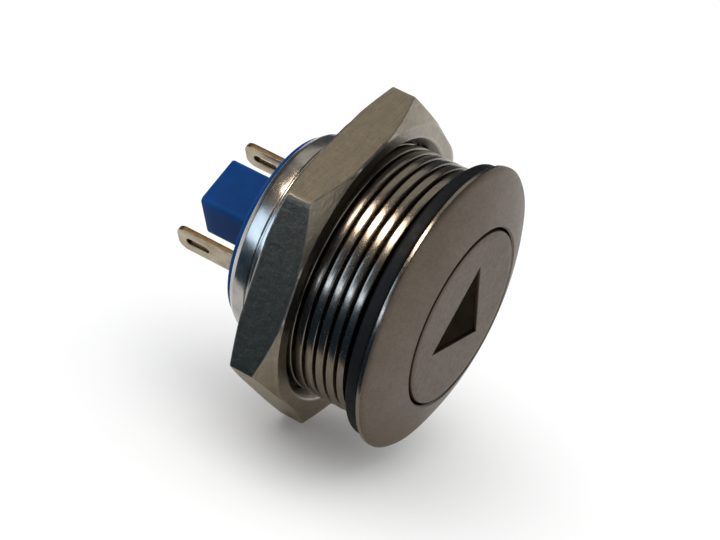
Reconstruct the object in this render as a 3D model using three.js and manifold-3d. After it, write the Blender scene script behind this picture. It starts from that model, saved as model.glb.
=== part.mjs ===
// Panel-mount metal push-button switch: domed round bezel with a flush button that
// carries an arrow, threaded barrel with gasket and hex nut, and a two-blade insert.
// Millimetres. +Z is up (the arrow's way), the button faces -Y, and y = 0 is the
// front of the panel that the switch is mounted in. The barrel's axis is the Y axis.

import * as THREE from 'three';
import { mergeVertices } from 'three/addons/utils/BufferGeometryUtils.js';
import Module from 'manifold-3d';

const wasm = await Module();
wasm.setup();

// ---- driving dimensions ----

const ROUND = 48;                 // sides of the large turned pieces
const FINE = 24;                  // sides of the small turned pieces
const TURN = 2 * Math.PI;
const CLEAR = 0.05;               // gap between pieces that rest on each other
const TRAVEL = 1.5;               // stroke of the button

const FLANGE_R = 12.5;
const GASKET_T = 1.3;
const GASKET_R = 12.1;
const FLANGE_BACK = -GASKET_T;
const RIM_T = 0.6;                // height of the flange's edge
const RIM_FRONT = FLANGE_BACK - RIM_T;
const CROWN_H = 1.55;             // how far the button's face stands ahead of the rim
const FACE = RIM_FRONT - CROWN_H;

const THREAD_R = 11;
const THREAD_PITCH = 1;
const THREAD_DEPTH = 0.6;
const THREAD_START = 0.36;
const THREAD_TURNS = 9;
const THREAD_END = THREAD_START + THREAD_TURNS * THREAD_PITCH;
const RELIEF_R = THREAD_R - THREAD_DEPTH;

const NUT_FLATS = 26;
const NUT_T = 3.8;
const NUT_FRONT = 5.65;
const NUT_BORE_R = 11.2;
const NUT_BEVEL = 0.6;
const NUT_FRONT_CHAMFER = 1.1;    // along the axis, at the corners
const NUT_BACK_CHAMFER = 0.6;
const NUT_CLOCKING = -3.5;        // degrees, of the corner that points up

const WELL_R = 7.9;               // bore that the button slides in
const WEB_FRONT = 3.9;            // wall across the barrel that carries the guide bush
const WEB_BACK = 5.9;
const WEB_HOLE_R = 3.3;
const INSERT_BORE_R = 8;
const TAIL_R = 9.3;               // plain rear end of the housing
const SPIGOT_R = 8.6;
const SPIGOT_START = 10.9;
const SPIGOT_END = 12.4;

const BUTTON_R = 7.7;
const BUTTON_T = 1.6;
const BUTTON_END = 2.1;
const SKIRT_INNER_R = 6.7;
const SEAL_Y = 1.1;               // groove for the sealing ring in the button's skirt
const SEAL_R = 7.4;
const SEAL_WIRE_R = 0.38;

const ARROW_R = 4.65;             // centre to corner of the triangle
const ARROW_DEPTH = 0.7;
const ARROW_T = 0.4;

const STEM_R = 2;
const STEM_END = 7.8;
const STEM_HEAD_R = 3.2;
const STEM_HEAD_T = 0.8;
const CLIP_GROOVE = 6.85;
const CLIP_GROOVE_W = 0.5;
const CLIP_GROOVE_R = 1.55;
const CLIP_R = 3.1;
const CLIP_T = 0.4;
const CLIP_MOUTH = 1.6;

const SPRING_R = 4.7;
const SPRING_WIRE_R = 0.3;
const SPRING_TURNS = 4.5;

const BUSH_FRONT = 3.6;
const BUSH_R = 3.22;
const BUSH_BORE_R = 2.08;
const BUSH_FLANGE_R = 4.4;
const BUSH_FLANGE_T = 0.7;

const INSERT_TURN = 38;           // degrees, of the blade line from level
const CASE_FRONT = 8.9;
const CASE_R = 7.85;
const CASE_WALL = 0.5;
const CASE_CAVITY_R = 6.9;
const BASE_FRONT = 12.45;
const BASE_FLANGE_R = 8.6;
const BASE_FLANGE_T = 0.4;
const BASE_R = 8.3;
const BASE_BACK = 13.9;
const RING_LIP = 12.9;
const RING_END = 13.4;
const RING_LIP_R = 8.37;
const RING_BORE_R = 8.7;
const RING_END_R = 8.98;          // the ring tapers a little towards the rear

const BLOCK_W = 4.9;              // square block that stands out behind the base
const BLOCK_END = 20.5;
const BLOCK_CORNER = 0.4;
const CHAMBER_R = 1.75;           // bore for the contact spring
const CHAMBER_END = 19.3;

const BLADE_W = 2.8;
const BLADE_T = 0.5;
const SHANK_T = 0.4;              // thickness of the blade inside the base
const BLADE_X = 4.95;             // distance of each blade from the axis
const BLADE_END = 21.2;
const BLADE_TIP_R = 0.9;
const BLADE_SLOT_W = 0.8;
const BLADE_SLOT_L = 2.3;
const BLADE_SLOT_END = 0.9;       // from the tip to the slot
const BLADE_FRONT = BASE_BACK + CLEAR;
const FOOT_T = 0.4;
const FOOT_BACK = BASE_FRONT - CLEAR;
const FOOT_FRONT = FOOT_BACK - FOOT_T;
const FOOT_X = 2.7;

const CONTACT_X = 3.6;
const CONTACT_R = 0.8;
const FIXED_T = 0.4;
const FIXED_FRONT = FOOT_FRONT - CLEAR - FIXED_T;
const CONTACT_STOP = 0.02;        // gap left between the contacts at full stroke
const MOVING_T = 0.25;
const MOVING_BACK = FIXED_FRONT - TRAVEL - CONTACT_STOP;
const MOVING_FRONT = MOVING_BACK - MOVING_T;
const BRIDGE_T = 0.25;
const BRIDGE_BACK = MOVING_FRONT - CLEAR;
const BRIDGE_FRONT = BRIDGE_BACK - BRIDGE_T;
const BRIDGE_L = 9.4;
const BRIDGE_W = 2.6;
const BRIDGE_HOLE_R = 0.95;

const PLUNGER_FRONT = STEM_END + CLEAR;
const PLUNGER_HEAD_R = 1.5;
const PLUNGER_R = 0.8;
const PLUNGER_END = 13.2;
const PLUNGER_HOLE_R = 2.2;       // wide enough for the stem at full stroke
const CONTACT_SPRING_R = 1.32;
const CONTACT_SPRING_WIRE_R = 0.18;
const CONTACT_SPRING_TURNS = 6;

// ---- materials ----

const metal = (color, roughness) => new THREE.MeshStandardMaterial({ color, roughness, metalness: 1 });
const plain = (color, roughness) => new THREE.MeshStandardMaterial({ color, roughness, metalness: 0 });

const LOOK = {
  steel: metal(0x8f877d, 0.35),
  bright: metal(0xb9bcbe, 0.2),
  nut: metal(0x7d776c, 0.45),
  rubber: plain(0x121214, 0.7),
  arrow: plain(0x1b120c, 0.3),
  brass: metal(0xc9b98a, 0.35),
  blue: plain(0x173f86, 0.45),
  silver: metal(0xd6d6d2, 0.3),
  spring: metal(0xa5a8aa, 0.3),
  white: plain(0xd9d6cc, 0.5),
};

// ---- shape helpers ----

// Solid of revolution about the Y axis from [radius, y] pairs.
function turned(pairs, sides = ROUND) {
  return new THREE.LatheGeometry(pairs.map(([r, y]) => new THREE.Vector2(r, y)), sides);
}

// Ring of rectangular section.
function ring(inner, outer, front, back, sides = ROUND) {
  return turned([[inner, front], [outer, front], [outer, back], [inner, back], [inner, front]], sides);
}

// Solid disc or rod.
function rod(radius, front, back, sides = FINE) {
  return turned([[0, front], [radius, front], [radius, back], [0, back]], sides);
}

// Flat outline in X and Z, given thickness along Y.
function plate(shape, front, back, curveSegments = 8) {
  const geometry = new THREE.ExtrudeGeometry(shape, { depth: back - front, bevelEnabled: false, curveSegments });
  return geometry.rotateX(Math.PI / 2).translate(0, back, 0);
}

function box(width, depth, height, x, y, z) {
  return new THREE.BoxGeometry(width, depth, height).translate(x, y, z);
}

// Regular polygon; the first corner is at startAngle from +X.
function polygon(radius, corners, startAngle) {
  const points = Array.from({ length: corners }, (_, i) => {
    const angle = startAngle + (i * TURN) / corners;
    return new THREE.Vector2(radius * Math.cos(angle), radius * Math.sin(angle));
  });
  return new THREE.Shape(points);
}

function solid(geometry) {
  const bare = geometry.clone();
  bare.deleteAttribute('normal');
  bare.deleteAttribute('uv');
  const merged = mergeVertices(bare, 1e-4);
  return new wasm.Manifold(new wasm.Mesh({
    numProp: 3,
    vertProperties: new Float32Array(merged.attributes.position.array),
    triVerts: new Uint32Array(merged.index.array),
  }));
}

function geometryOf(manifold) {
  const mesh = manifold.getMesh();
  const geometry = new THREE.BufferGeometry();
  geometry.setAttribute('position', new THREE.BufferAttribute(new Float32Array(mesh.vertProperties), 3));
  geometry.setIndex(new THREE.BufferAttribute(new Uint32Array(mesh.triVerts), 1));
  geometry.computeVertexNormals();
  return geometry;
}

// The first geometry with every other one cut out of it.
function cut(geometry, ...tools) {
  return geometryOf(tools.reduce((rest, tool) => rest.subtract(solid(tool)), solid(geometry)));
}

function joined(...pieces) {
  return geometryOf(pieces.map(solid).reduce((sum, piece) => sum.add(piece)));
}

// Helix about the Y axis, from the front to the back.
class Helix extends THREE.Curve {
  constructor(radius, front, back, turns) {
    super();
    Object.assign(this, { radius, front, back, turns });
  }

  getPoint(t, target = new THREE.Vector3()) {
    const angle = t * this.turns * TURN;
    const y = this.front + t * (this.back - this.front);
    return target.set(this.radius * Math.cos(angle), y, this.radius * Math.sin(angle));
  }
}

function coil(radius, wireRadius, front, back, turns) {
  const path = new Helix(radius, front + wireRadius, back - wireRadius, turns);
  const section = polygon(wireRadius, 6, 0);
  return new THREE.ExtrudeGeometry(section, { steps: Math.round(turns * 12), extrudePath: path });
}

// Ring of round section.
function sealRing(radius, wireRadius, y) {
  const sides = 6;
  const pairs = Array.from({ length: sides + 1 }, (_, i) => {
    const angle = (i * TURN) / sides;
    return [radius + wireRadius * Math.cos(angle), y + wireRadius * Math.sin(angle)];
  });
  return turned(pairs, FINE + 8);
}

const part = new THREE.Group();
const insert = new THREE.Group();
insert.rotation.y = -THREE.MathUtils.degToRad(INSERT_TURN);
part.add(insert);

function place(parent, name, geometry, material) {
  const mesh = new THREE.Mesh(geometry, material);
  mesh.name = name;
  parent.add(mesh);
  return mesh;
}

// ---- housing, gasket, nut and rear ring ----

// One turned body: shallow crowned flange, threaded barrel with a web across it, plain tail.
function housing() {
  const crown = Array.from({ length: 5 }, (_, i) => {
    const t = i / 4;
    const r = THREE.MathUtils.lerp(WELL_R + 0.15, FLANGE_R - 0.25, t);
    return [r, THREE.MathUtils.lerp(FACE + 0.05, RIM_FRONT, t) - 0.12 * Math.sin(Math.PI * t)];
  });
  const thread = Array.from({ length: THREAD_TURNS }, (_, i) => {
    const start = THREAD_START + i * THREAD_PITCH;
    return [
      [RELIEF_R, start],
      [THREAD_R, start + 0.3 * THREAD_PITCH],
      [THREAD_R, start + 0.7 * THREAD_PITCH],
    ];
  }).flat();
  return turned([
    [WELL_R, FACE + 0.2],
    ...crown,
    [FLANGE_R, RIM_FRONT + 0.25],
    [FLANGE_R, FLANGE_BACK - 0.12],
    [FLANGE_R - 0.12, FLANGE_BACK],
    [RELIEF_R, FLANGE_BACK],
    ...thread,
    [RELIEF_R, THREAD_END],
    [TAIL_R, THREAD_END + 0.5],
    [TAIL_R, SPIGOT_START],
    [SPIGOT_R, SPIGOT_START],
    [SPIGOT_R, SPIGOT_END],
    [INSERT_BORE_R, SPIGOT_END],
    [INSERT_BORE_R, WEB_BACK],
    [WEB_HOLE_R, WEB_BACK],
    [WEB_HOLE_R, WEB_FRONT],
    [WELL_R, WEB_FRONT],
    [WELL_R, FACE + 0.2],
  ]);
}

function gasket() {
  const edge = 0.25;
  const inner = THREAD_R + 0.1;
  const front = FLANGE_BACK + CLEAR;
  return turned([
    [inner, front], [GASKET_R - edge, front], [GASKET_R, front + edge],
    [GASKET_R, -edge], [GASKET_R - edge, 0], [inner, 0], [inner, front],
  ]);
}

// Hexagon with both faces chamfered where they meet the corners, and a bevelled bore.
function nut() {
  const cornerR = NUT_FLATS / 2 / Math.cos(Math.PI / 6);
  const back = NUT_FRONT + NUT_T;
  const hexagon = plate(polygon(cornerR, 6, Math.PI / 2), NUT_FRONT, back);
  const chamfered = turned([
    [0, NUT_FRONT], [NUT_FLATS / 2 + 0.1, NUT_FRONT], [cornerR, NUT_FRONT + NUT_FRONT_CHAMFER],
    [cornerR, back - NUT_BACK_CHAMFER], [NUT_FLATS / 2 + 0.1, back], [0, back],
  ]);
  const bore = turned([
    [0, NUT_FRONT - 1], [NUT_BORE_R + NUT_BEVEL + 1, NUT_FRONT - 1], [NUT_BORE_R, NUT_FRONT + NUT_BEVEL],
    [NUT_BORE_R, back - NUT_BEVEL], [NUT_BORE_R + NUT_BEVEL + 1, back + 1], [0, back + 1],
  ]);
  return geometryOf(solid(hexagon).intersect(solid(chamfered)).subtract(solid(bore)));
}

// Ring pressed over the housing's spigot; its lip holds the insert's base in.
function rearRing() {
  return turned([
    [RING_BORE_R, SPIGOT_START + CLEAR],
    [TAIL_R, SPIGOT_START + CLEAR],
    [RING_END_R, RING_END - 0.5],
    [RING_END_R - 0.35, RING_END],
    [RING_LIP_R, RING_END],
    [RING_LIP_R, RING_LIP],
    [RING_BORE_R, RING_LIP],
    [RING_BORE_R, SPIGOT_START + CLEAR],
  ]);
}

place(part, 'bezel_housing', housing(), LOOK.steel);
place(part, 'panel_gasket', gasket(), LOOK.rubber);
place(part, 'mounting_nut', nut().rotateY(-THREE.MathUtils.degToRad(NUT_CLOCKING)), LOOK.nut);
place(part, 'rear_ring', rearRing(), LOOK.bright);

// ---- button and its stem ----

function triangle(radius) {
  return polygon(radius, 3, Math.PI / 2);
}

function buttonCap() {
  const groove = SEAL_WIRE_R + 0.07;
  const body = turned([
    [0, FACE], [BUTTON_R - 0.2, FACE], [BUTTON_R, FACE + 0.2],
    [BUTTON_R, SEAL_Y - groove], [SEAL_R - groove, SEAL_Y - groove],
    [SEAL_R - groove, SEAL_Y + groove], [BUTTON_R, SEAL_Y + groove],
    [BUTTON_R, BUTTON_END], [SKIRT_INNER_R, BUTTON_END],
    [SKIRT_INNER_R, FACE + BUTTON_T], [0, FACE + BUTTON_T],
  ]);
  return cut(body, plate(triangle(ARROW_R), FACE - 1, FACE + ARROW_DEPTH));
}

function arrowInlay() {
  const back = FACE + ARROW_DEPTH - CLEAR;
  return plate(triangle(ARROW_R - 0.15), back - ARROW_T, back);
}

function stem() {
  const front = FACE + BUTTON_T + CLEAR;
  return turned([
    [0, front], [STEM_HEAD_R, front], [STEM_HEAD_R, front + STEM_HEAD_T], [STEM_R, front + STEM_HEAD_T],
    [STEM_R, CLIP_GROOVE], [CLIP_GROOVE_R, CLIP_GROOVE],
    [CLIP_GROOVE_R, CLIP_GROOVE + CLIP_GROOVE_W], [STEM_R, CLIP_GROOVE + CLIP_GROOVE_W],
    [STEM_R, STEM_END - 0.2], [STEM_R - 0.2, STEM_END], [0, STEM_END],
  ], FINE);
}

function guideBush() {
  const flange = WEB_BACK + CLEAR;
  return turned([
    [BUSH_BORE_R, BUSH_FRONT], [BUSH_R, BUSH_FRONT], [BUSH_R, flange], [BUSH_FLANGE_R, flange],
    [BUSH_FLANGE_R, flange + BUSH_FLANGE_T], [BUSH_BORE_R, flange + BUSH_FLANGE_T], [BUSH_BORE_R, BUSH_FRONT],
  ], FINE);
}

function retainingClip() {
  const front = CLIP_GROOVE + CLEAR;
  const back = front + CLIP_T;
  const mouth = box(CLIP_MOUTH, 2, CLIP_R + 1, 0, front, -(CLIP_R + 1) / 2);
  return cut(ring(CLIP_GROOVE_R + 0.07, CLIP_R, front, back, FINE), mouth);
}

place(part, 'button_cap', buttonCap(), LOOK.steel);
place(part, 'arrow_inlay', arrowInlay(), LOOK.arrow);
place(part, 'button_seal', sealRing(SEAL_R, SEAL_WIRE_R, SEAL_Y), LOOK.rubber);
place(part, 'button_stem', stem(), LOOK.bright);
place(part, 'retaining_clip', retainingClip(), LOOK.spring);
place(part, 'guide_bush', guideBush(), LOOK.white);
place(part, 'return_spring', coil(
  SPRING_R, SPRING_WIRE_R, FACE + BUTTON_T + CLEAR, WEB_FRONT - CLEAR, SPRING_TURNS), LOOK.spring);

// ---- switch insert, turned about the barrel's axis ----

// Cup at the front of the insert, with a hole for the plunger.
function switchCase() {
  return turned([
    [PLUNGER_HOLE_R, CASE_FRONT], [CASE_R, CASE_FRONT], [CASE_R, BASE_FRONT - CLEAR],
    [CASE_CAVITY_R, BASE_FRONT - CLEAR], [CASE_CAVITY_R, CASE_FRONT + CASE_WALL],
    [PLUNGER_HOLE_R, CASE_FRONT + CASE_WALL], [PLUNGER_HOLE_R, CASE_FRONT],
  ], 32);
}

function roundedSquare(width, corner) {
  const half = width / 2;
  const shape = new THREE.Shape();
  shape.moveTo(half, half - corner);
  shape.absarc(half - corner, half - corner, corner, 0, TURN / 4);
  shape.absarc(corner - half, half - corner, corner, TURN / 4, TURN / 2);
  shape.absarc(corner - half, corner - half, corner, TURN / 2, 0.75 * TURN);
  shape.absarc(half - corner, corner - half, corner, 0.75 * TURN, TURN);
  return shape;
}

// Base disc with the square block behind it, bored for the spring and slotted for the blades.
function insulatorBase() {
  const disc = turned([
    [0, BASE_FRONT], [BASE_FLANGE_R, BASE_FRONT], [BASE_FLANGE_R, BASE_FRONT + BASE_FLANGE_T],
    [BASE_R, BASE_FRONT + BASE_FLANGE_T], [BASE_R, BASE_BACK - 0.1], [BASE_R - 0.1, BASE_BACK], [0, BASE_BACK],
  ]);
  const block = plate(roundedSquare(BLOCK_W, BLOCK_CORNER), BASE_BACK - 0.5, BLOCK_END, 3);
  const chamber = rod(CHAMBER_R, BASE_FRONT - 1, CHAMBER_END, 24);
  const slots = [-1, 1].map((side) => box(
    BLADE_T + 0.2, BASE_BACK - BASE_FRONT + 2, BLADE_W + 0.2, side * BLADE_X, (BASE_FRONT + BASE_BACK) / 2, 0));
  return cut(joined(disc, block), chamber, ...slots);
}

// Blade with a round-cornered tip and a slot. Its thinner shank passes through the base
// and is bent over at the front into a contact foot.
function terminal(side) {
  const half = BLADE_W / 2;
  const outline = new THREE.Shape();
  outline.moveTo(-half, BLADE_FRONT);
  outline.lineTo(half, BLADE_FRONT);
  outline.lineTo(half, BLADE_END - BLADE_TIP_R);
  outline.absarc(half - BLADE_TIP_R, BLADE_END - BLADE_TIP_R, BLADE_TIP_R, 0, TURN / 4);
  outline.absarc(BLADE_TIP_R - half, BLADE_END - BLADE_TIP_R, BLADE_TIP_R, TURN / 4, TURN / 2);
  const slotEnd = BLADE_END - BLADE_SLOT_END;
  const slotR = BLADE_SLOT_W / 2;
  const slot = new THREE.Path();
  slot.absarc(0, slotEnd - slotR, slotR, 0, TURN / 2);
  slot.absarc(0, slotEnd - BLADE_SLOT_L + slotR, slotR, TURN / 2, TURN);
  outline.holes.push(slot);
  const blade = new THREE.ExtrudeGeometry(outline, { depth: BLADE_T, bevelEnabled: false, curveSegments: 6 });
  blade.rotateY(Math.PI / 2).translate(side * BLADE_X - BLADE_T / 2, 0, 0);
  const shankL = BLADE_FRONT + 0.5 - FOOT_FRONT;
  const shank = box(SHANK_T, shankL, BLADE_W, side * BLADE_X, FOOT_FRONT + shankL / 2, 0);
  const footL = BLADE_X - FOOT_X;
  const foot = box(footL, FOOT_T, BLADE_W, side * (FOOT_X + footL / 2), FOOT_FRONT + FOOT_T / 2, 0);
  return joined(blade, shank, foot);
}

function contactBridge() {
  const bar = box(BRIDGE_L, BRIDGE_T, BRIDGE_W, 0, (BRIDGE_FRONT + BRIDGE_BACK) / 2, 0);
  return cut(bar, rod(BRIDGE_HOLE_R, BRIDGE_FRONT - 1, BRIDGE_BACK + 1, 24));
}

// Stepped plunger: the head meets the stem, the shoulder pushes the bridge, the tail guides the spring.
function plunger() {
  return turned([
    [0, PLUNGER_FRONT], [PLUNGER_HEAD_R - 0.4, PLUNGER_FRONT], [PLUNGER_HEAD_R, PLUNGER_FRONT + 0.4],
    [PLUNGER_HEAD_R, BRIDGE_FRONT - CLEAR], [PLUNGER_R, BRIDGE_FRONT - CLEAR],
    [PLUNGER_R, PLUNGER_END], [0, PLUNGER_END],
  ], 24);
}

place(insert, 'switch_case', switchCase(), LOOK.blue);
place(insert, 'insulator_base', insulatorBase(), LOOK.blue);
place(insert, 'switch_plunger', plunger(), LOOK.white);
place(insert, 'contact_bridge', contactBridge(), LOOK.brass);
place(insert, 'contact_spring', coil(
  CONTACT_SPRING_R, CONTACT_SPRING_WIRE_R, BRIDGE_BACK + CLEAR, CHAMBER_END - CLEAR, CONTACT_SPRING_TURNS),
LOOK.spring);

for (const [label, side] of [['lower', -1], ['upper', 1]]) {
  place(insert, `terminal_${label}`, terminal(side), LOOK.brass);
  place(insert, `fixed_contact_${label}`, rod(CONTACT_R, FIXED_FRONT, FIXED_FRONT + FIXED_T, 20)
    .translate(side * CONTACT_X, 0, 0), LOOK.silver);
  place(insert, `moving_contact_${label}`, rod(CONTACT_R, MOVING_FRONT, MOVING_BACK, 20)
    .translate(side * CONTACT_X, 0, 0), LOOK.silver);
}

export default part;
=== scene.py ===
import math

import bmesh
import bpy
from mathutils import Matrix, Vector


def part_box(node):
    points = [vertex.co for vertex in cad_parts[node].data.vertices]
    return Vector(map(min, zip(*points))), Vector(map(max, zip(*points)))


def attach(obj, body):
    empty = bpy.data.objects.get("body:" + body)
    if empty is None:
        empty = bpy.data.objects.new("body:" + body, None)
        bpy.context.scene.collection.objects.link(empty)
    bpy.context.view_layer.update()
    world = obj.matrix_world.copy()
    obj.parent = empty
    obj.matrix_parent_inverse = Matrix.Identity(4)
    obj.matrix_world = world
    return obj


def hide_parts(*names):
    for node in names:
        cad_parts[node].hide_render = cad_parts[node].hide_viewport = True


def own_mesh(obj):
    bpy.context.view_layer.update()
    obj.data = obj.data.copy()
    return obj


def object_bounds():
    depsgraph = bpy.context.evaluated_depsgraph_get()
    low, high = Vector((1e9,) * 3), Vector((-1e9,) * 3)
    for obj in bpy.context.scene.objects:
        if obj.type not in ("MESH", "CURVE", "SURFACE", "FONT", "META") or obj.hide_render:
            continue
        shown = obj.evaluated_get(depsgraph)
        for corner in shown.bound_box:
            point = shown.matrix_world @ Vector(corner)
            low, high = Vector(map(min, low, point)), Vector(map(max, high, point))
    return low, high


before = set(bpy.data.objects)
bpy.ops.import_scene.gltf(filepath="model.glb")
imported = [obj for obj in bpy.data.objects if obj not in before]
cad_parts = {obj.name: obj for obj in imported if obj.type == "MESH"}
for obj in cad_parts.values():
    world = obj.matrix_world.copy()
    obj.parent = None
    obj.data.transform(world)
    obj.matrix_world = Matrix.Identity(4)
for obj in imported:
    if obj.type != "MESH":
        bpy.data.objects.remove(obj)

CAD_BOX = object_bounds()
MM = 0.001
TURN = 2 * math.pi

# ---- sizes, in millimetres, y measured from the panel's front face ----

ROUND = 192                  # sides of the large turned pieces
FINE = 96                    # sides of the small turned pieces
OUTLINED = 360               # points round the nut and the button's cap
CLEAR = 0.05                 # gap between pieces that rest on each other

FLANGE_R = 12.5
FLANGE_BACK = -1.3
RIM_FRONT = -1.9
FACE = -3.45                 # front of the button and of the bezel round it
GASKET_R = 12.1
GASKET_BORE_R = 11.1

THREAD_R = 11.0
THREAD_ROOT_R = 10.4
THREAD_PITCH = 1.0
THREAD_START = 0.36
THREAD_END = 9.36
TAIL_R = 9.3                 # plain rear end of the barrel
TAIL_END = 10.9
SPIGOT_R = 8.6               # thin end that the rear ring goes over
SPIGOT_END = 12.4

WELL_R = 7.9                 # bore that the button slides in
WEB_FRONT = 3.9              # wall across the barrel that holds the guide sleeve
WEB_BACK = 5.9
WEB_HOLE_R = 3.3
INSERT_BORE_R = 8.0

RING_FRONT = TAIL_END + CLEAR
RING_BORE_R = 8.7
RING_END_R = 8.98
RING_LIP = 12.9
RING_LIP_R = 8.37
RING_END = 13.4

NUT_FLATS = 26.0
NUT_FRONT = 5.65
NUT_BACK = 9.45
NUT_BORE_R = 11.2
NUT_BEVEL = 0.6
NUT_CHAMFER_R = 13.1         # where the cone at the corners starts
NUT_FRONT_CHAMFER = 1.1
NUT_BACK_CHAMFER = 0.6
NUT_CORNER_UP = math.radians(86.5)

BUTTON_R = 7.7
BUTTON_T = 1.6
BUTTON_END = 2.1
SKIRT_BORE_R = 6.7
SEAL_Y = 1.1
SEAL_R = 7.4
SEAL_WIRE_R = 0.38
SEAL_GROOVE = 0.45           # half of the groove's width, and its depth from the ring's middle
ARROW_R = 4.65               # centre to corner of the triangular recess
ARROW_DEPTH = 0.7
ARROW_T = 0.4
ARROW_GAP = 0.075            # from the inlay to the recess's side
ARROW_UP = TURN / 4

STEM_FRONT = FACE + BUTTON_T + CLEAR
STEM_R = 2.0
STEM_END = 7.8
STEM_HEAD_R = 3.2
STEM_HEAD_T = 0.8
CLIP_GROOVE = 6.85
CLIP_GROOVE_W = 0.5
CLIP_GROOVE_R = 1.55

BUSH_FRONT = 3.6
BUSH_R = 3.22
BUSH_BORE_R = 2.08
BUSH_FLANGE_R = 4.4
BUSH_FLANGE_FRONT = WEB_BACK + CLEAR
BUSH_END = 6.65
RETURN_COIL = (4.7, 0.3, 5)       # middle radius, wire radius and turns
CONTACT_COIL = (1.32, 0.18, 8)

INSERT_TURN = math.radians(38)    # of the line through both blades, from level
CASE_FRONT = 8.9
CASE_R = 7.85
CASE_WALL = 0.5
CASE_CAVITY_R = 6.9
CASE_HOLE_R = 2.2
BASE_FRONT = 12.45
BASE_FLANGE_R = 8.6
BASE_FLANGE_T = 0.4
BASE_R = 8.3
BASE_BACK = 13.9
CHAMBER_R = 1.75             # bore for the contact spring
CHAMBER_END = 19.3
BLOCK_W = 4.9
BLOCK_CORNER = 0.4
BLOCK_END = 20.5

BLADE_X = 4.95               # distance of each blade from the axis
BLADE_W = 2.8
BLADE_T = 0.5
BLADE_EDGE = 0.09
BLADE_END = 21.2
BLADE_TIP_R = 0.9
BLADE_SLOT_R = 0.4
BLADE_SLOT_L = 2.3
BLADE_SLOT_END = BLADE_END - 0.9
FOOT_T = 0.4                 # inner end of the terminal, in the insert
FOOT_BACK = BASE_FRONT - CLEAR
FOOT_FRONT = FOOT_BACK - FOOT_T
FOOT_X = 2.7                 # distance of its inner edge from the axis

CONTACT_X = 3.6
CONTACT_R = 0.8
CONTACT_DOME = 0.08
PLUNGER_FRONT = STEM_END + CLEAR
PLUNGER_HEAD_R = 1.5
PLUNGER_R = 0.8
PLUNGER_END = 13.2

SIDES = (("lower", -1), ("upper", 1))


# ---- node helpers ----

class Shader:
    """A Principled material whose nodes are added one call at a time; spaces in sockets' names are _."""

    def __init__(self, name, **sockets):
        self.material = bpy.data.materials.new(name)
        self.material.use_nodes = True
        self.tree = self.material.node_tree
        self.bsdf = self.tree.nodes["Principled BSDF"]
        for socket, value in sockets.items():
            self.bsdf.inputs[socket.replace("_", " ")].default_value = value
        self.coordinates = self.node("ShaderNodeTexCoord").outputs["Object"]
        self.normal = None

    def node(self, kind, **settings):
        node = self.tree.nodes.new(kind)
        for key, value in settings.items():
            setattr(node, key, value)
        return node

    def link(self, source, target):
        self.tree.links.new(source, target)

    def stretched(self, scale):
        """Object coordinates in millimetres, times a scale on each axis."""
        mapping = self.node("ShaderNodeMapping")
        mapping.inputs["Scale"].default_value = [value / MM for value in scale]
        self.link(self.coordinates, mapping.inputs["Vector"])
        return mapping.outputs["Vector"]

    def noise(self, scale, detail=4.0, roughness=0.6, stretch=(1, 1, 1)):
        noise = self.node("ShaderNodeTexNoise")
        self.link(self.stretched(stretch), noise.inputs["Vector"])
        noise.inputs["Scale"].default_value = scale
        noise.inputs["Detail"].default_value = detail
        noise.inputs["Roughness"].default_value = roughness
        return noise.outputs["Fac"]

    def rings(self, scale):
        """Fine turning marks about the Y axis."""
        wave = self.node("ShaderNodeTexWave", wave_type="RINGS", rings_direction="Y", wave_profile="SIN")
        self.link(self.stretched((1, 1, 1)), wave.inputs["Vector"])
        wave.inputs["Scale"].default_value = scale
        wave.inputs["Distortion"].default_value = 0.3
        wave.inputs["Detail"].default_value = 3.0
        return wave.outputs["Fac"]

    def spread(self, source, low, high, start=0.3, end=0.7):
        """The source's range start to end, mapped to low to high."""
        remap = self.node("ShaderNodeMapRange")
        self.link(source, remap.inputs["Value"])
        for socket, value in (("From Min", start), ("From Max", end), ("To Min", low), ("To Max", high)):
            remap.inputs[socket].default_value = value
        return remap.outputs["Result"]

    def colors(self, source, *stops):
        """A colour ramp from (position, colour) pairs."""
        ramp = self.node("ShaderNodeValToRGB")
        elements = ramp.color_ramp.elements
        while len(elements) < len(stops):
            elements.new(0.5)
        for element, (position, color) in zip(elements, stops):
            element.position = position
            element.color = (*color, 1)
        self.link(source, ramp.inputs["Fac"])
        return ramp.outputs["Color"]

    def mixed(self, factor, first, second):
        """The colour output first, mixed towards the plain colour second."""
        mix = self.node("ShaderNodeMix", data_type="RGBA")
        sockets = {socket.identifier: socket for socket in (*mix.inputs, *mix.outputs)}
        self.link(factor, sockets["Factor_Float"])
        self.link(first, sockets["A_Color"])
        sockets["B_Color"].default_value = (*second, 1)
        return sockets["Result_Color"]

    def worn_edges(self, strength):
        """The strength on tightly rounded edges, zero on flats, from what mark_wear stores."""
        wear = self.node("ShaderNodeAttribute", attribute_name="wear").outputs["Fac"]
        return self.spread(wear, 0.0, strength, 2.0, 8.0)

    def bump(self, height, distance, strength):
        """Relief, its depth in millimetres, on top of any added before."""
        bump = self.node("ShaderNodeBump")
        bump.inputs["Strength"].default_value = strength
        bump.inputs["Distance"].default_value = distance * MM
        self.link(height, bump.inputs["Height"])
        if self.normal is not None:
            self.link(self.normal, bump.inputs["Normal"])
        self.normal = bump.outputs["Normal"]

    def done(self, color, roughness=None):
        self.link(color, self.bsdf.inputs["Base Color"])
        if roughness is not None:
            self.link(roughness, self.bsdf.inputs["Roughness"])
        if self.normal is not None:
            self.link(self.normal, self.bsdf.inputs["Normal"])
        return self.material


# ---- materials ----

def tinted(color, tint):
    return tuple(value * scale for value, scale in zip(color, tint))


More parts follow.
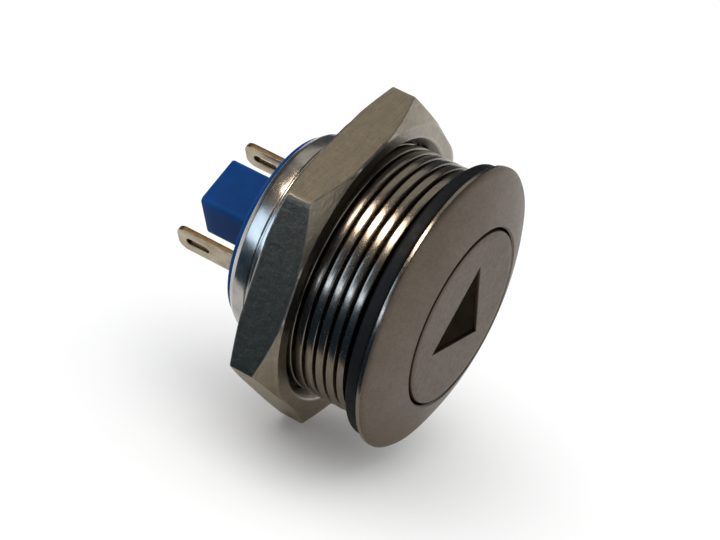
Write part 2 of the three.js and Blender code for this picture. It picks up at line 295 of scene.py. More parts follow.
def satin_steel(name, tint=(1.0, 1.0, 1.0)):
    """Bead-blasted metal with a trace of turning marks."""
    dark = tinted((0.085, 0.07, 0.056), tint)
    middle = tinted((0.138, 0.113, 0.09), tint)
    light = tinted((0.163, 0.134, 0.108), tint)
    s = Shader(name, Metallic=1.0)
    cloud = s.noise(0.35, detail=3)
    grain = s.noise(5.0, detail=3)
    color = s.colors(cloud, (0.3, middle), (0.7, light))
    color = s.mixed(s.spread(grain, 0.0, 0.4), color, dark)
    s.bump(s.rings(4.5), 0.002, 0.2)
    s.bump(grain, 0.01, 0.6)
    return s.done(color, s.spread(s.noise(3.0), 0.42, 0.54))


def turned_steel():
    """Polished, dark-plated threads."""
    s = Shader("turned_steel", Metallic=1.0)
    along = s.noise(2.0, detail=5, stretch=(0.6, 6, 0.6))
    color = s.colors(along, (0.3, (0.17, 0.152, 0.132)), (0.7, (0.26, 0.235, 0.205)))
    s.bump(s.noise(6.0, detail=4, stretch=(1, 12, 1)), 0.002, 0.3)
    return s.done(color, s.spread(s.noise(4.0), 0.18, 0.28))


def nut_metal():
    """Nickel-plated nut with faint blanking streaks and small pits."""
    s = Shader("nut_metal", Metallic=1.0)
    streaks = s.noise(1.2, detail=6, stretch=(0.4, 5, 0.4))
    mottle = s.noise(1.6, detail=4, roughness=0.7)
    pits = s.noise(3.4, detail=5, roughness=0.7)
    color = s.colors(streaks, (0.3, (0.23, 0.203, 0.158)), (0.7, (0.305, 0.272, 0.213)))
    color = s.mixed(s.spread(mottle, 0.45, 0.0, 0.35, 0.6), color, (0.17, 0.16, 0.145))
    color = s.mixed(s.spread(pits, 0.16, 0.0, 0.3, 0.45), color, (0.12, 0.112, 0.1))
    s.bump(mottle, 0.08, 0.5)
    color = s.mixed(s.worn_edges(0.5), color, (0.5, 0.47, 0.43))
    s.bump(pits, 0.03, 0.55)
    s.bump(s.noise(7.0, detail=3), 0.006, 0.5)
    return s.done(color, s.spread(pits, 0.26, 0.38))


def bright_metal():
    """Bright turned metal with soft smudges."""
    s = Shader("bright_metal", Metallic=1.0)
    smudge = s.noise(0.5, detail=4)
    color = s.colors(smudge, (0.3, (0.3, 0.285, 0.26)), (0.7, (0.48, 0.47, 0.455)))
    s.bump(s.noise(3.0, detail=4, stretch=(1, 14, 1)), 0.002, 0.4)
    return s.done(color, s.spread(smudge, 0.16, 0.28))


def rubber():
    s = Shader("rubber", Specular_IOR_Level=0.1)
    grain = s.noise(7.0, detail=4)
    color = s.colors(grain, (0.35, (0.004, 0.005, 0.006)), (0.75, (0.009, 0.011, 0.014)))
    s.bump(grain, 0.01, 0.4)
    return s.done(color, s.spread(s.noise(1.2), 0.42, 0.62))


def arrow_resin():
    """Dark brown-black lens."""
    s = Shader("arrow_resin", Specular_IOR_Level=0.0)
    flow = s.noise(0.8, detail=3)
    color = s.colors(flow, (0.3, (0.008, 0.006, 0.004)), (0.75, (0.016, 0.012, 0.008)))
    s.bump(s.noise(2.0, detail=2), 0.02, 0.3)
    return s.done(color, s.spread(flow, 0.4, 0.55))


def blue_plastic():
    """Moulded insert with a fine eroded texture and paler scuffs on its edges."""
    s = Shader("blue_plastic", Specular_IOR_Level=0.02)
    cloud = s.noise(0.5, detail=4)
    texture = s.noise(9.0, detail=3)
    color = s.colors(cloud, (0.3, (0.0025, 0.029, 0.118)), (0.7, (0.004, 0.041, 0.162)))
    color = s.mixed(s.worn_edges(0.25), color, (0.02, 0.1, 0.3))
    s.bump(texture, 0.006, 0.5)
    return s.done(color, s.spread(cloud, 0.36, 0.52))


def brass():
    """Pale tin-washed brass with tarnish towards brown."""
    s = Shader("brass", Metallic=1.0)
    tarnish = s.noise(0.7, detail=5)
    color = s.colors(tarnish, (0.25, (0.24, 0.18, 0.105)), (0.55, (0.38, 0.315, 0.22)),
                     (0.8, (0.45, 0.39, 0.295)))
    s.bump(s.noise(2.5, detail=5, stretch=(6, 0.5, 6)), 0.004, 0.5)
    return s.done(color, s.spread(tarnish, 0.38, 0.24))


def sheared_brass():
    """Rough, darkened edges that the punch leaves."""
    s = Shader("sheared_brass", Metallic=1.0)
    streaks = s.noise(3.0, detail=4, stretch=(3, 0.6, 3))
    color = s.colors(streaks, (0.3, (0.05, 0.034, 0.018)), (0.7, (0.17, 0.125, 0.07)))
    s.bump(streaks, 0.008, 0.6)
    return s.done(color, s.spread(streaks, 0.45, 0.6))


def silver_contact():
    s = Shader("silver_contact", Metallic=1.0)
    tarnish = s.noise(1.5, detail=4)
    color = s.colors(tarnish, (0.3, (0.6, 0.57, 0.52)), (0.65, (0.88, 0.87, 0.85)))
    s.bump(s.rings(6.0), 0.002, 0.4)
    return s.done(color, s.spread(tarnish, 0.35, 0.18))


def spring_steel():
    s = Shader("spring_steel", Metallic=1.0)
    drawn = s.noise(6.0, detail=4)
    color = s.colors(drawn, (0.3, (0.4, 0.4, 0.41)), (0.7, (0.6, 0.6, 0.61)))
    s.bump(drawn, 0.003, 0.4)
    return s.done(color, s.spread(drawn, 0.22, 0.36))


def white_plastic():
    s = Shader("white_plastic")
    cloud = s.noise(0.8, detail=3)
    color = s.colors(cloud, (0.3, (0.66, 0.64, 0.58)), (0.7, (0.78, 0.76, 0.71)))
    s.bump(s.noise(8.0, detail=3), 0.005, 0.4)
    return s.done(color, s.spread(cloud, 0.38, 0.52))


def floor_paint():
    s = Shader("floor_paint", Roughness=0.8, Specular_IOR_Level=0.1)
    cloud = s.noise(0.01, detail=3)
    color = s.colors(cloud, (0.3, (0.87, 0.87, 0.868)), (0.7, (0.9, 0.9, 0.898)))
    return s.done(color)


def card_paint(name, color):
    s = Shader(name, Roughness=0.9, Specular_IOR_Level=0.0)
    dark, light = tinted(color, (0.9, 0.9, 0.9)), tinted(color, (1.1, 1.1, 1.1))
    return s.done(s.colors(s.noise(0.02), (0.3, dark), (0.7, light)))


MATERIALS = {
    "steel": satin_steel("satin_steel"),
    "cap_steel": satin_steel("cap_steel", (0.73, 0.66, 0.6)),
    "thread": turned_steel(),
    "nut_metal": nut_metal(),
    "bright_metal": bright_metal(),
    "rubber": rubber(),
    "arrow": arrow_resin(),
    "blue_plastic": blue_plastic(),
    "brass": brass(),
    "sheared_brass": sheared_brass(),
    "silver": silver_contact(),
    "spring_steel": spring_steel(),
    "white_plastic": white_plastic(),
}


# ---- mesh helpers ----

def arc(x, y, radius, start, end, steps=10):
    """Points of an arc between two angles in degrees."""
    angles = [math.radians(start + (end - start) * i / steps) for i in range(steps + 1)]
    return [(x + radius * math.cos(angle), y + radius * math.sin(angle)) for angle in angles]


def filleted(corners, steps=3):
    """(r, y) points from (r, y) or (r, y, fillet radius) corners, with the second kind rounded."""
    most = 0.45                  # of an edge that a fillet may take
    points = []
    closed = corners[0][:2] == corners[-1][:2]
    for i, corner in enumerate(corners):
        here = Vector(corner[:2])
        ends = i in (0, len(corners) - 1)
        if len(corner) == 2 or (ends and not closed):
            points.append(here)
            continue
        before = Vector(corners[i - 1 if i else -2][:2])
        after = Vector(corners[i + 1 if i < len(corners) - 1 else 1][:2])
        a, b = (before - here).normalized(), (after - here).normalized()
        half = math.acos(max(-1, min(1, a.dot(b)))) / 2
        reach = min(corner[2] / math.tan(half), most * (before - here).length, most * (after - here).length)
        first, last = here + a * reach, here + b * reach
        for k in range(steps + 1):
            t = k / steps
            points.append(first * (1 - t) ** 2 + here * 2 * t * (1 - t) + last * t ** 2)
    return points


def skinned(rings, closed=False):
    """A bmesh skin through rings of points; a ring of one point is a pole."""
    bm = bmesh.new()
    rows = [[bm.verts.new(Vector(p) * MM) for p in ring] for ring in rings]
    if closed:
        rows.append(rows[0])
    for row, following in zip(rows, rows[1:]):
        count = max(len(row), len(following))
        for i in range(count):
            j = (i + 1) % count
            corners = [row[i % len(row)], row[j % len(row)],
                       following[j % len(following)], following[i % len(following)]]
            face = list(dict.fromkeys(corners))
            if len(face) > 2:
                bm.faces.new(face)
    return bm


def lathed(corners, sides=ROUND, steps=3):
    """Solid of revolution about the Y axis, from corners as filleted takes them."""
    points = filleted(corners, steps)
    closed = (points[0] - points[-1]).length < 1e-9
    if closed:
        points = points[:-1]
    rings = []
    for r, y in points:
        if r < 1e-9:
            rings.append([(0, y, 0)])
        else:
            rings.append([(r * math.cos(TURN * i / sides), y, r * math.sin(TURN * i / sides))
                          for i in range(sides)])
    return skinned(rings, closed)


def at(value, angle):
    """The value itself or, where it is a function, what it gives at the angle."""
    return value(angle) if callable(value) else value


def outlines(stations, count, start=0.0):
    """Rings of points from (radius, y) pairs, each a number or a function of the angle from the start."""
    rings = []
    for radius, y in stations:
        ring = []
        for i in range(count):
            angle = TURN * i / count
            r = at(radius, angle)
            ring.append((r * math.cos(angle + start), at(y, angle), r * math.sin(angle + start)))
        rings.append(ring)
    return rings


def polygon_radius(apothem, corners):
    """Radius of a regular polygon by angle from one of its corners."""
    wedge = TURN / corners
    return lambda angle: apothem / math.cos(angle % wedge - wedge / 2)


def rounded_square_radius(half, corner):
    """Radius of a square with rounded corners, by angle from the middle of a side."""
    def radius(angle):
        off_middle = abs((angle + TURN / 8) % (TURN / 4) - TURN / 8)
        if half * math.tan(off_middle) <= half - corner:
            return half / math.cos(off_middle)
        centre = Vector((half - corner, half - corner))
        ray = Vector((math.cos(off_middle), math.sin(off_middle)))
        along = centre.dot(ray)
        return along + math.sqrt(max(0.0, corner ** 2 - (centre.length_squared - along ** 2)))
    return radius


def screw_thread(root, crest, start, end, fade):
    """Helical surface of a thread, one strip, fading out over part of a turn at each end.

    The flank runs from the crest to the root: (distance from the crest in pitches, height).
    """
    flank = [(0.08, 1.0), (0.22, 0.995), (0.29, 0.975), (0.335, 0.91),
             (0.37, 0.78), (0.44, 0.15), (0.47, 0.03), (0.5, 0.0)]
    profile = [(-offset, height) for offset, height in reversed(flank)] + flank
    turns = (end - start) / THREAD_PITCH - 1
    bm = bmesh.new()
    previous = None
    for i in range(int(turns * ROUND) + 1):
        turn = i / ROUND
        rise = min(1.0, turn / fade, (turns - turn) / fade)
        angle = TURN * turn
        row = []
        for offset, height in profile:
            radius = root + (crest - root) * height * rise
            y = start + THREAD_PITCH * (0.5 + turn + offset)
            row.append(bm.verts.new(Vector((radius * math.cos(angle), y, radius * math.sin(angle))) * MM))
        if previous:
            for k in range(len(row) - 1):
                bm.faces.new((previous[k], row[k], row[k + 1], previous[k + 1]))
        previous = row
    return bm


def moved(bm, x=0.0, y=0.0):
    """Moved along X and Y, in millimetres."""
    bmesh.ops.translate(bm, vec=(x * MM, y * MM, 0), verts=bm.verts)
    return bm


def turned(bm, angle):
    """Turned about the Y axis, anticlockwise as seen from the button's side."""
    bmesh.ops.rotate(bm, verts=bm.verts, cent=(0, 0, 0), matrix=Matrix.Rotation(-angle, 3, "Y"))
    return bm


def mark_wear(bm):
    """Store on each face how tightly it curves outward, in radians per millimetre."""
    wear = bm.faces.layers.float.new("wear")
    for face in bm.faces:
        bend = sum(edge.calc_face_angle_signed(0.0) * edge.calc_length() for edge in face.edges)
        face[wear] = bend / face.calc_area() * MM


def piece(name, meshes, body, node, slot, material=None, sharp=30):
    """One Blender object from bmeshes, riding on a body in place of a CAD node.

    It has the slot's material unless another is named. Edges that bend by more than sharp degrees stay sharp.
    """
    mesh = bpy.data.meshes.new(name)
    joined = bmesh.new()
    for bm in meshes:
        bmesh.ops.recalc_face_normals(bm, faces=bm.faces)
        part = bpy.data.meshes.new(name)
        bm.to_mesh(part)
        joined.from_mesh(part)
        bm.free()
        bpy.data.meshes.remove(part)
    mark_wear(joined)
    joined.to_mesh(mesh)
    joined.free()
    mesh.shade_smooth()
    mesh.set_sharp_from_angle(angle=math.radians(sharp))
    mesh.materials.append(MATERIALS[material or slot])
    obj = bpy.data.objects.new(name, mesh)
    bpy.context.scene.collection.objects.link(obj)
    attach(obj, body)
    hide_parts(node)
    return obj


def paint(obj, material, chosen):
    """Add a material, on the faces for which chosen is true."""
    obj.data.materials.append(MATERIALS[material])
    last = len(obj.data.materials) - 1
    for face in obj.data.polygons:
        if chosen(face):
            face.material_index = last


# ---- housing ----

def crown(t):
    """(r, y) point of the bezel's shallow dome, from its inner edge at 0 to its outer edge at 1."""
    inner, outer = WELL_R + 0.15, FLANGE_R - 0.25
    inner_y = FACE + 0.05
    return inner + (outer - inner) * t, inner_y + (RIM_FRONT - inner_y) * t - 0.12 * math.sin(math.pi * t)


def build_housing():
    """Crowned flange, threaded barrel and tail; the thread is a helix on the barrel."""
    steps = 12
    flange = lathed([
        (WELL_R, WEB_FRONT), (WELL_R, FACE + 0.22, 0.1), *[crown(i / steps) for i in range(steps + 1)],
        (FLANGE_R, RIM_FRONT + 0.25, 0.06), (FLANGE_R, FLANGE_BACK, 0.12),
        (THREAD_ROOT_R, FLANGE_BACK, 0.1), (THREAD_ROOT_R, THREAD_END, 0.1),
        (TAIL_R, THREAD_END + 0.5, 0.1), (TAIL_R, TAIL_END, 0.12),
        (SPIGOT_R, TAIL_END), (SPIGOT_R, SPIGOT_END, 0.1), (INSERT_BORE_R, SPIGOT_END, 0.1),
        (INSERT_BORE_R, WEB_BACK), (WEB_HOLE_R, WEB_BACK), (WEB_HOLE_R, WEB_FRONT), (WELL_R, WEB_FRONT),
    ])
    thread = screw_thread(THREAD_ROOT_R + 0.01, THREAD_R, THREAD_START - 0.3, THREAD_END + 0.05, fade=0.2)
    obj = piece("bezel_and_barrel", [flange, thread], "housing", "bezel_housing", "steel")
    paint(obj, "thread", lambda face: face.center.y > (RIM_FRONT + 0.2) * MM)


def build_gasket():
    front = FLANGE_BACK + CLEAR
    piece("gasket_ring", [lathed([
        (GASKET_BORE_R, front), (GASKET_R, front, 0.35), (GASKET_R, 0, 0.35), (GASKET_BORE_R, 0),
        (GASKET_BORE_R, front),
    ], steps=5)], "housing", "panel_gasket", "rubber")


def build_rear_ring():
    """Tapered end ring with a shallow turned groove, and a lip over the insert."""
    groove = RING_FRONT + 0.45
    piece("end_ring", [lathed([
        (RING_BORE_R, RING_FRONT), (TAIL_R, RING_FRONT, 0.1), (TAIL_R - 0.06, groove, 0.06),
        (TAIL_R - 0.2, groove + 0.05, 0.04), (TAIL_R - 0.22, groove + 0.2, 0.04),
        (TAIL_R - 0.1, groove + 0.25, 0.08), (RING_END_R, RING_LIP, 0.2), (RING_END_R - 0.35, RING_END, 0.15),
        (RING_LIP_R, RING_END, 0.06), (RING_LIP_R, RING_LIP), (RING_BORE_R, RING_LIP),
        (RING_BORE_R, RING_FRONT),
    ])], "housing", "rear_ring", "bright_metal")


# ---- nut ----

def build_nut():
    """Hexagon whose faces are chamfered by a cone at the corners, with a threaded bore."""
    edge = 0.11                  # of the small bevel between the faces and the flats
    hexagon = polygon_radius(NUT_FLATS / 2, 6)
    corner = NUT_FLATS / 2 / math.cos(math.pi / 6)

    def outer(angle):
        return min(hexagon(angle), corner - 0.04)

    def end_rings(base, inward, chamfer):
        """From the bore out over the front or back face and down to the flats."""
        def depth(angle):
            return max(edge, (outer(angle) - NUT_CHAMFER_R) * chamfer / (corner - NUT_CHAMFER_R))

        return outlines([
            (NUT_BORE_R, base + inward * NUT_BEVEL), (NUT_BORE_R + 0.5, base + inward * 0.08),
            (NUT_BORE_R + 0.62, base), (NUT_BORE_R + 0.75, base), (NUT_CHAMFER_R - 0.3, base),
            (lambda angle: min(outer(angle) - edge, NUT_CHAMFER_R - 0.12), base),
            (lambda angle: outer(angle) - edge * 0.3, lambda angle: base + inward * depth(angle)),
            (outer, lambda angle: base + inward * (depth(angle) + edge)),
        ], OUTLINED, NUT_CORNER_UP)

    front = end_rings(NUT_FRONT, 1, NUT_FRONT_CHAMFER)
    back = end_rings(NUT_BACK, -1, NUT_BACK_CHAMFER)
    threads = screw_thread(NUT_BORE_R + 0.35, NUT_BORE_R + 0.02, NUT_FRONT + 0.2, NUT_BACK - 0.2, fade=0.1)
    body = skinned([*front, *reversed(back)])
    piece("hex_nut", [body, threads], "nut", "mounting_nut", "nut_metal", sharp=12)


# ---- button ----

def arrow_outline(extra=0.0):
    """Radius of the triangular recess, grown by extra, by angle from its upper corner."""
    return polygon_radius(ARROW_R / 2 + extra, 3)


def build_button():
    """Cap with a triangular recess; the top is a skin between the triangle and the rim."""
    floor, underside = FACE + ARROW_DEPTH, FACE + BUTTON_T
    groove_front, groove_back = SEAL_Y - SEAL_GROOVE, SEAL_Y + SEAL_GROOVE
    rings = outlines([
        (arrow_outline(), floor), (arrow_outline(), FACE + 0.07), (arrow_outline(0.02), FACE + 0.02),
        (arrow_outline(0.07), FACE), (arrow_outline(0.13), FACE), (ARROW_R + 0.75, FACE),
        (BUTTON_R - 1.3, FACE), (BUTTON_R - 0.7, FACE), (BUTTON_R - 0.2, FACE),
        (BUTTON_R - 0.06, FACE + 0.05), (BUTTON_R, FACE + 0.2),
        (BUTTON_R, groove_front), (SEAL_R - SEAL_GROOVE, groove_front), (SEAL_R - SEAL_GROOVE, groove_back),
        (BUTTON_R, groove_back), (BUTTON_R, BUTTON_END - 0.1), (BUTTON_R - 0.1, BUTTON_END),
        (SKIRT_BORE_R, BUTTON_END), (SKIRT_BORE_R, underside),
    ], OUTLINED, ARROW_UP)
    cap = skinned([[(0, floor, 0)], *rings, [(0, underside, 0)]])
    piece("button_cap_turned", [cap], "button", "button_cap", "steel", "cap_steel", sharp=25)


def build_arrow():
    """Dark inlay, slightly dished, a little below the button's face."""
    outline = arrow_outline(-ARROW_GAP)
    back = FACE + ARROW_DEPTH - CLEAR
    front = back - ARROW_T
    rings = outlines([
        (lambda angle: 0.5 * outline(angle), front + 0.08),
        (lambda angle: 0.85 * outline(angle), front + 0.02),
        (arrow_outline(-ARROW_GAP - 0.05), front), (outline, front + 0.05), (outline, back),
    ], OUTLINED // 2, ARROW_UP)
    lens = skinned([[(0, front + 0.1, 0)], *rings, [(0, back, 0)]])
    piece("arrow_lens", [lens], "button", "arrow_inlay", "arrow")


def build_stem():
    """Rod with a head against the cap and a groove for the clip, and the ring round the cap's skirt."""
    head_back, groove_back = STEM_FRONT + STEM_HEAD_T, CLIP_GROOVE + CLIP_GROOVE_W
    piece("stem_rod", [lathed([
        (0, STEM_FRONT), (STEM_HEAD_R, STEM_FRONT, 0.1), (STEM_HEAD_R, head_back, 0.1),
        (STEM_R, head_back, 0.15), (STEM_R, CLIP_GROOVE, 0.05), (CLIP_GROOVE_R, CLIP_GROOVE),
        (CLIP_GROOVE_R, groove_back), (STEM_R, groove_back, 0.05), (STEM_R, STEM_END, 0.2), (0, STEM_END),
    ], FINE)], "button", "button_stem", "bright_metal")
    section = arc(SEAL_R, SEAL_Y, SEAL_WIRE_R, 0, 360, 16)
    section[-1] = section[0]
    piece("seal_ring", [lathed(section, FINE)], "button", "button_seal", "rubber")


def build_bush():
    piece("guide_sleeve", [lathed([
        (BUSH_BORE_R, BUSH_FRONT, 0.1), (BUSH_R, BUSH_FRONT, 0.1), (BUSH_R, BUSH_FLANGE_FRONT),
        (BUSH_FLANGE_R, BUSH_FLANGE_FRONT, 0.1), (BUSH_FLANGE_R, BUSH_END, 0.15),
        (BUSH_BORE_R, BUSH_END, 0.15), (BUSH_BORE_R, BUSH_FRONT, 0.1),
    ], FINE)], "housing", "guide_bush", "white_plastic")


def coiled(radius, wire, turns, front, back):
    """Round wire wound about the Y axis, with one turn closed up at each end."""
    sides, per_turn = 10, 40
    closed = wire * 2.1          # advance of a closed turn
    free = (back - front - 2 * wire - 2 * closed) / (turns - 2)
    rings = []
    for i in range(turns * per_turn + 1):
        turn = i / per_turn
        first = min(turn, 1.0)
        last = max(0.0, turn - (turns - 1))
        y = front + wire + (first + last) * closed + (turn - first - last) * free
        angle = TURN * turn
        outward = Vector((math.cos(angle), 0, math.sin(angle)))
        rings.append([outward * (radius + wire * math.cos(TURN * k / sides))
                      + Vector((0, y + wire * math.sin(TURN * k / sides), 0)) for k in range(sides)])
    centre = [sum((Vector(p) for p in ring), Vector()) / sides for ring in (rings[0], rings[-1])]
    return skinned([[centre[0]], *rings, [centre[1]]])


def build_spring(name, node, coil, front, back):
    """Coiled spring on the housing, with a mesh of its own."""
    spring = piece(name, [coiled(*coil, front, back)], "housing", node, "spring_steel")
    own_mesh(spring)


# ---- insert ----

def blade_pad(side):
    """Raised oblong round the foot of a blade: a rounded square, stretched along the blade's width."""
    wall, top = rounded_square_radius(1.0, 0.3), rounded_square_radius(0.94, 0.3)
    rings = outlines([(wall, BASE_BACK - 0.3), (wall, BASE_BACK - 0.08), (top, BASE_BACK)], count=80)
    pad = skinned([*rings, [(0, BASE_BACK, 0)]])
    bmesh.ops.scale(pad, vec=(0.75, 1, 1.9), verts=pad.verts)
    return moved(pad, x=side * BLADE_X)


def build_base():
    """Blue disc and block: raised pads round the blades, mould relief and rounded edges."""
    sunk = BASE_BACK - 0.12
    flange_back = BASE_FRONT + BASE_FLANGE_T
    disc = lathed([
        (CHAMBER_R, BASE_FRONT), (BASE_FLANGE_R, BASE_FRONT, 0.08), (BASE_FLANGE_R, flange_back, 0.08),
        (BASE_R, flange_back), (BASE_R, BASE_BACK, 0.15), (BASE_R - 0.4, BASE_BACK),
        (BASE_R - 0.7, BASE_BACK, 0.05), (BASE_R - 0.8, sunk, 0.05), (BASE_R - 1.0, sunk),
        (CHAMBER_R + 0.25, sunk), (CHAMBER_R, sunk), (CHAMBER_R, BASE_FRONT),
    ])

    def inset(amount, corner):
        return rounded_square_radius(BLOCK_W / 2 - amount, corner)

    rings = outlines([
        (inset(0, BLOCK_CORNER), BASE_BACK - 0.3), (inset(0, BLOCK_CORNER), BASE_BACK + 0.3),
        (inset(0, BLOCK_CORNER), BLOCK_END - 1.0), (inset(0, BLOCK_CORNER), BLOCK_END - 0.14),
        (inset(0.04, BLOCK_CORNER - 0.02), BLOCK_END - 0.04), (inset(0.14, BLOCK_CORNER - 0.07), BLOCK_END),
        (inset(0.6, BLOCK_CORNER / 2), BLOCK_END), (inset(0.66, BLOCK_CORNER / 2), BLOCK_END - 0.1),
    ], count=240)
    block = skinned([*rings, [(0, BLOCK_END - 0.1, 0)]])
    pads = [blade_pad(side) for _, side in SIDES]
    meshes = [turned(bm, INSERT_TURN) for bm in (disc, block, *pads)]
    piece("insert_base", meshes, "housing", "insulator_base", "blue_plastic")


def build_case():
    inside = CASE_FRONT + CASE_WALL
    piece("insert_cup", [lathed([
        (CASE_HOLE_R, CASE_FRONT, 0.1), (CASE_R, CASE_FRONT, 0.3), (CASE_R, SPIGOT_END),
        (CASE_CAVITY_R, SPIGOT_END), (CASE_CAVITY_R, inside, 0.2), (CASE_HOLE_R, inside),
        (CASE_HOLE_R, CASE_FRONT, 0.1),
    ])], "housing", "switch_case", "blue_plastic")


def cut_blade(outline, slot):
    """Flat metal with rounded edges, from an outline with a slot in it."""
    curve = bpy.data.curves.new("blade", "CURVE")
    curve.dimensions = "2D"
    curve.fill_mode = "BOTH"
    for loop in (outline, slot):
        spline = curve.splines.new("POLY")
        spline.points.add(len(loop) - 1)
        for point, (x, y) in zip(spline.points, loop):
            point.co = (x * MM, y * MM, 0, 1)
        spline.use_cyclic_u = True
    curve.extrude = (BLADE_T / 2 - BLADE_EDGE) * MM
    curve.bevel_depth = BLADE_EDGE * MM
    curve.bevel_resolution = 3
    curve.offset = -BLADE_EDGE * MM
    holder = bpy.data.objects.new("blade", curve)
    bpy.context.scene.collection.objects.link(holder)
    bpy.context.view_layer.update()
    mesh = bpy.data.meshes.new_from_object(holder.evaluated_get(bpy.context.evaluated_depsgraph_get()))
    bm = bmesh.new()
    bm.from_mesh(mesh)
    bpy.data.objects.remove(holder)
    bpy.data.curves.remove(curve)
    bpy.data.meshes.remove(mesh)
    bmesh.ops.remove_doubles(bm, verts=bm.verts, dist=1e-7)
    return bm


def build_terminal(label, side):
    """Slotted blade on a foot that runs inward to the fixed contact."""
    half, tip = BLADE_W / 2, BLADE_TIP_R
    outline = [(-half, FOOT_FRONT), (half, FOOT_FRONT), *arc(half - tip, BLADE_END - tip, tip, 0, 90),
               *arc(tip - half, BLADE_END - tip, tip, 90, 180)]
    slot = [*arc(0, BLADE_SLOT_END - BLADE_SLOT_R, BLADE_SLOT_R, 0, 180),
            *arc(0, BLADE_SLOT_END - BLADE_SLOT_L + BLADE_SLOT_R, BLADE_SLOT_R, 180, 360)]
    blade = moved(turned(cut_blade(outline, slot), TURN / 4), x=side * BLADE_X)
    foot = bmesh.new()
    bmesh.ops.create_cube(foot, size=1.0)
    bmesh.ops.scale(foot, verts=foot.verts, vec=((BLADE_X - FOOT_X) * MM, FOOT_T * MM, BLADE_W * MM))
    moved(foot, x=side * (BLADE_X + FOOT_X) / 2, y=FOOT_BACK - FOOT_T / 2)
    bmesh.ops.bevel(foot, geom=foot.edges[:], offset=0.06 * MM, segments=3, affect="EDGES")
    meshes = [turned(bm, INSERT_TURN) for bm in (blade, foot)]
    obj = piece(f"blade_{label}", meshes, "housing", f"terminal_{label}", "brass")
    flat = Vector((math.cos(INSERT_TURN), 0, math.sin(INSERT_TURN)))
    paint(obj, "sheared_brass", lambda face: face.center.y > (BASE_FRONT + CLEAR) * MM
          and abs(face.normal.dot(flat)) < 0.5)


def contact_rivet(domed, flat):
    """Rivet with a domed face at one y and a flat one at the other."""
    dome = math.copysign(CONTACT_DOME, flat - domed)
    return lathed([
        (0, domed), (0.75 * CONTACT_R, domed + dome, 0.2), (CONTACT_R, domed + 2 * dome, 0.1),
        (CONTACT_R, flat, 0.04), (0, flat),
    ], FINE // 2)


def build_contacts():
    """Fixed and moving rivets that face each other."""
    for label, side in SIDES:
        for kind, body in (("fixed", "housing"), ("moving", "contact_carrier")):
            node = f"{kind}_contact_{label}"
            front, back = (corner.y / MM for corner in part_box(node))
            rivet = contact_rivet(front, back) if kind == "fixed" else contact_rivet(back, front)
            moved(rivet, x=side * CONTACT_X)
            piece(f"{kind}_rivet_{label}", [turned(rivet, INSERT_TURN)], body, node, "silver")


def build_plunger():
    """Pin that carries the contact bridge behind its head."""
    head_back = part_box("contact_bridge")[0].y / MM - CLEAR
    piece("plunger_pin", [lathed([
        (0, PLUNGER_FRONT), (PLUNGER_HEAD_R - 0.4, PLUNGER_FRONT, 0.2),
        (PLUNGER_HEAD_R, PLUNGER_FRONT + 0.4, 0.1), (PLUNGER_HEAD_R, head_back, 0.05),
        (PLUNGER_R, head_back, 0.05), (PLUNGER_R, PLUNGER_END, 0.15), (0, PLUNGER_END),
    ], FINE)], "contact_carrier", "switch_plunger", "white_plastic")


def finish_cad_nodes():
    """The sheet pieces keep their CAD shape, with softened edges."""
    for node, material in (("contact_bridge", "brass"), ("retaining_clip", "spring_steel")):
        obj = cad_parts[node]
        obj.data.materials.clear()
        obj.data.materials.append(MATERIALS[material])
        bevel = obj.modifiers.new("edges", "BEVEL")
        bevel.width = 0.05 * MM
        bevel.segments = 2
        bevel.limit_method = "ANGLE"
        bevel.angle_limit = math.radians(40)


build_housing()
build_gasket()
build_rear_ring()
build_nut()
build_button()
build_arrow()
build_stem()
build_bush()
build_spring("return_coil", "return_spring", RETURN_COIL, STEM_FRONT, WEB_FRONT - CLEAR)
build_spring("contact_coil", "contact_spring", CONTACT_COIL,
             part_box("contact_spring")[0].y / MM, CHAMBER_END - CLEAR)
build_base()
build_case()
for label, side in SIDES:
    build_terminal(label, side)
build_contacts()
build_plunger()
finish_cad_nodes()


# ---- stage, light and camera ----

def view_direction(azimuth, elevation):
    """Direction that a camera looks in from an azimuth and elevation in degrees."""
    a, e = math.radians(azimuth), math.radians(elevation)
    return Vector((-math.sin(a) * math.cos(e), math.cos(a) * math.cos(e), -math.sin(e)))


def panel(name, toward, distance, width, height, power, color):
    """Light that only reflections show, in a direction from the barrel's middle, facing it.

    Sizes are in millimetres and the power in watts.
    """
    middle = Vector((0, 4, 0)) * MM
    light = bpy.data.lights.new(name, "AREA")
    light.shape = "RECTANGLE"
    light.size, light.size_y = width * MM, height * MM
    light.energy = power
    light.color = color
    obj = bpy.data.objects.new(name, light)
    obj.location = middle + Vector(toward).normalized() * distance * MM
    obj.rotation_euler = (middle - obj.location).to_track_quat("-Z", "Y").to_euler()
    obj.visible_diffuse = False
    obj.visible_camera = False
    bpy.context.scene.collection.objects.link(obj)
    return obj


def sheet(name, low, high, z, material):
    """Level rectangle between two (x, y) corners, in millimetres, that isn't part of the object."""
    corners = [(low[0], low[1]), (high[0], low[1]), (high[0], high[1]), (low[0], high[1])]
    mesh = bpy.data.meshes.new(name)
    mesh.from_pydata([(x * MM, y * MM, z * MM) for x, y in corners], [], [(0, 1, 2, 3)])
    mesh.materials.append(material)
    obj = bpy.data.objects.new(name, mesh)
    bpy.context.scene.collection.objects.link(obj)
    return obj


def build_stage():
    """Pale floor, and darker cards beside and below the object that only reflections show: painted dark and
    grey reflections in the metal.
    """
    floor = CAD_BOX[0].z / MM - 0.2
    sheet("floor", (-3000, -3000), (3000, 3000), floor, floor_paint())
    # Painted reflections: dark_card darkens what the metal reflects beside the object, and grey_card stands
    # in for the shaded floor under it.
    cards = (("dark_card", (-420, -60), (-16, 420), (0.02, 0.04, 0.06)),
             ("grey_card", (-16, -7), (9, 15), (0.65, 0.6, 0.52)))
    for name, near, far, color in cards:
        card = sheet(name, near, far, floor + 0.1, card_paint(name, color))
        card.visible_camera = False
        card.visible_diffuse = False
        card.visible_shadow = False


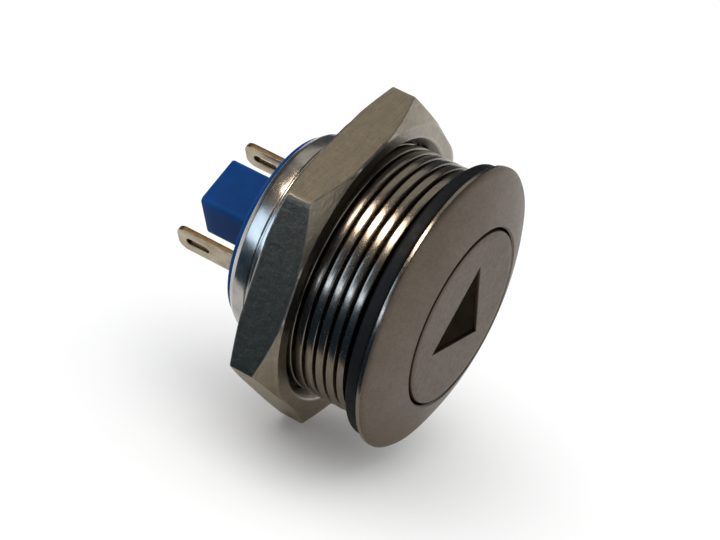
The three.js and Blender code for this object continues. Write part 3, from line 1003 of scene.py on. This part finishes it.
def build_world():
    """Pale surroundings, dimmer in reflections so that the metal keeps its contrast."""
    world = bpy.data.worlds.new("studio")
    world.use_nodes = True
    tree = world.node_tree
    dim = tree.nodes["Background"]
    dim.inputs["Color"].default_value = (0.8, 0.9, 1.0, 1)
    dim.inputs["Strength"].default_value = 0.09
    pale = tree.nodes.new("ShaderNodeBackground")
    pale.inputs["Color"].default_value = (0.93, 0.93, 0.93, 1)
    rays = tree.nodes.new("ShaderNodeLightPath")
    mix = tree.nodes.new("ShaderNodeMixShader")
    tree.links.new(rays.outputs["Is Glossy Ray"], mix.inputs[0])
    tree.links.new(pale.outputs[0], mix.inputs[1])
    tree.links.new(dim.outputs[0], mix.inputs[2])
    tree.links.new(mix.outputs[0], tree.nodes["World Output"].inputs["Surface"])
    bpy.context.scene.world = world


def shield_nut(light):
    """Keep a light off the nut, as a flag beside it would."""
    shielded = bpy.data.collections.new("shielded")
    shielded.objects.link(bpy.data.objects["hex_nut"])
    shielded.collection_objects[0].light_linking.link_state = "EXCLUDE"
    light.light_linking.receiver_collection = shielded


def build_lights():
    """Panels that give the metal its highlights, and soft daylight for everything else."""
    panel("warm_key", (-0.45, 0.36, 0.82), 260, 105, 80, 0.5, (1.0, 0.83, 0.64))
    shield_nut(panel("cool_side", (-0.93, 0.36, -0.06), 230, 60, 70, 0.085, (0.66, 0.82, 1.0)))
    panel("cool_rear", (-0.76, 0.64, 0.12), 230, 90, 130, 0.11, (0.62, 0.8, 1.0))
    panel("top_soft", (0.36, 0.36, 0.86), 300, 200, 200, 0.08, (1.0, 0.92, 0.8))
    panel("front_fill", (0.88, -0.45, 0.1), 400, 500, 300, 0.42, (1.0, 0.97, 0.94))
    panel("front_soft", (0.0, -0.95, 0.3), 350, 240, 160, 0.16, (1.0, 0.97, 0.93))
    sun = bpy.data.lights.new("soft_daylight", "SUN")
    sun.energy = 1.1
    sun.angle = math.radians(70)
    obj = bpy.data.objects.new("soft_daylight", sun)
    obj.rotation_euler = Vector((0.35, -0.1, -1)).to_track_quat("-Z", "Y").to_euler()
    obj.visible_glossy = False
    bpy.context.scene.collection.objects.link(obj)


def build_camera():
    """Long lens from the left and above, a little turned."""
    azimuth, elevation, roll = -67.5, 22.5, math.radians(17.8)
    distance, aim = 185.3, Vector((-3.65, 4.84, 1.32))
    camera = bpy.data.cameras.new("camera")
    camera.sensor_width = 36
    camera.lens = 115.8
    camera.clip_start = 0.005
    obj = bpy.data.objects.new("camera", camera)
    forward = view_direction(azimuth, elevation)
    level = forward.cross(Vector((0, 0, 1))).normalized()
    right = level * math.cos(roll) + level.cross(forward) * math.sin(roll)
    up = right.cross(forward)
    matrix = Matrix((right, up, -forward)).transposed().to_4x4()
    matrix.translation = (aim - forward * distance) * MM
    obj.matrix_world = matrix
    bpy.context.scene.collection.objects.link(obj)
    bpy.context.scene.camera = obj
    bpy.context.scene.view_settings.view_transform = "Standard"


build_stage()
build_world()
build_lights()
build_camera()
